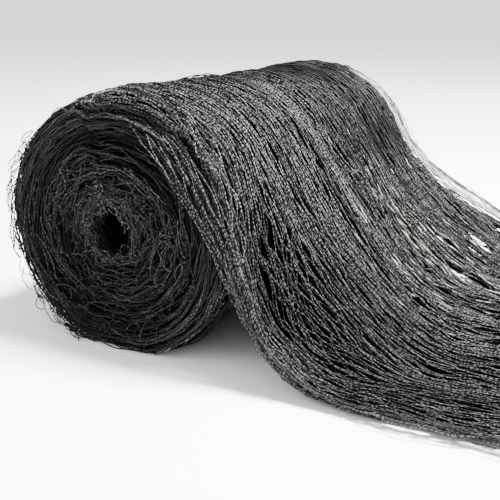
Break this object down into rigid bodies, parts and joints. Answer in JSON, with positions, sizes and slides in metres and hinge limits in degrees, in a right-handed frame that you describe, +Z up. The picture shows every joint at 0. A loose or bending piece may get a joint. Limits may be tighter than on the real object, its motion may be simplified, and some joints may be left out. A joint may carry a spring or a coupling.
{
  "type": "bird netting roll",
  "caption": "Loosely wound roll of fine knotless bird netting on its side, with its loose end drawn off the top and laid out on the surface.",
  "frame": {"origin": "middle of the flat spot that the roll rests on", "axes": "+Z up, Y along the roll with the open end at -Y, +X towards the loose end"},
  "size_m": [0.2453, 0.2153, 0.1016],
  "materials": {
    "wound_net": "black polyethylene net, wound, dull sheen",
    "loose_net": "black polyethylene net, gathered, grey sheen on the strands"
  },
  "bodies": {
    "root": {"roll": "wound_net", "loose_end": "loose_net"}
  },
  "joints": []
}
